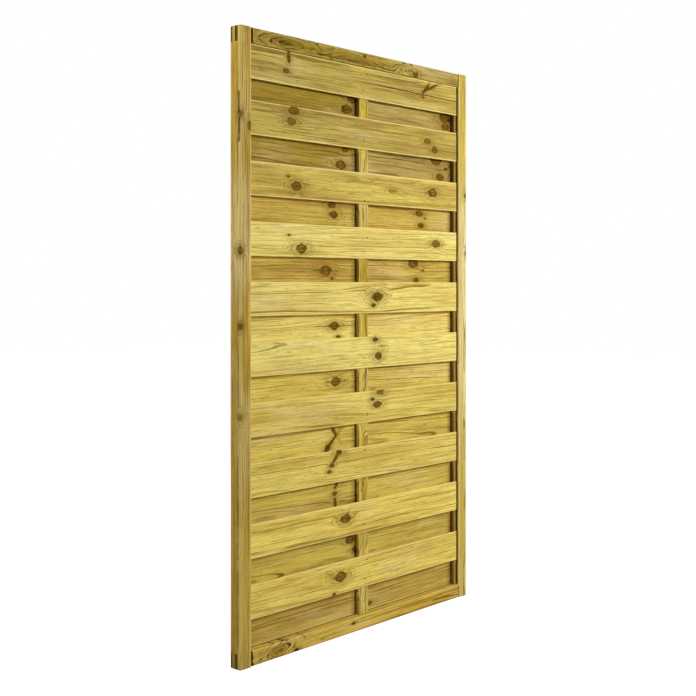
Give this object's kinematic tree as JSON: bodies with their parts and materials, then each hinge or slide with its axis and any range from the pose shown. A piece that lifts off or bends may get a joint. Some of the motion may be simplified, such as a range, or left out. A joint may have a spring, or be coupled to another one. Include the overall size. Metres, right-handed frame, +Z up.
{
  "type": "privacy fence panel",
  "caption": "Softwood privacy fence panel: a comb-jointed frame with horizontal slats nailed in staggered rows to the front and back of upright battens.",
  "frame": {"origin": "middle of the left stile's outer face, which is the face that is fixed to a post", "axes": "+X along the panel from the left stile to the right one, +Y from the front face to the back, +Z up"},
  "size_m": [1.05, 0.044, 1.8],
  "materials": {
    "frame_timber": "planed softwood, pressure-treated, matt",
    "batten_timber": "planed softwood, pressure-treated, matt",
    "slat_timber": "planed softwood, pressure-treated, matt",
    "nail_steel": "galvanized wire nails, dulled, their heads flush with the slats"
  },
  "bodies": {
    "root": {"left_stile": "frame_timber", "right_stile": "frame_timber", "top_rail": "frame_timber", "bottom_rail": "frame_timber", "left_bead": "batten_timber", "centre_batten": "batten_timber", "right_bead": "batten_timber", "front_slat_01": "slat_timber", "front_slat_02": "slat_timber", "front_slat_03": "slat_timber", "front_slat_04": "slat_timber", "front_slat_05": "slat_timber", "front_slat_06": "slat_timber", "front_slat_07": "slat_timber", "front_slat_08": "slat_timber", "front_slat_09": "slat_timber", "front_slat_10": "slat_timber", "back_slat_01": "slat_timber", "back_slat_02": "slat_timber", "back_slat_03": "slat_timber", "back_slat_04": "slat_timber", "back_slat_05": "slat_timber", "back_slat_06": "slat_timber", "back_slat_07": "slat_timber", "back_slat_08": "slat_timber", "back_slat_09": "slat_timber", "back_slat_10": "slat_timber"}
  },
  "joints": []
}
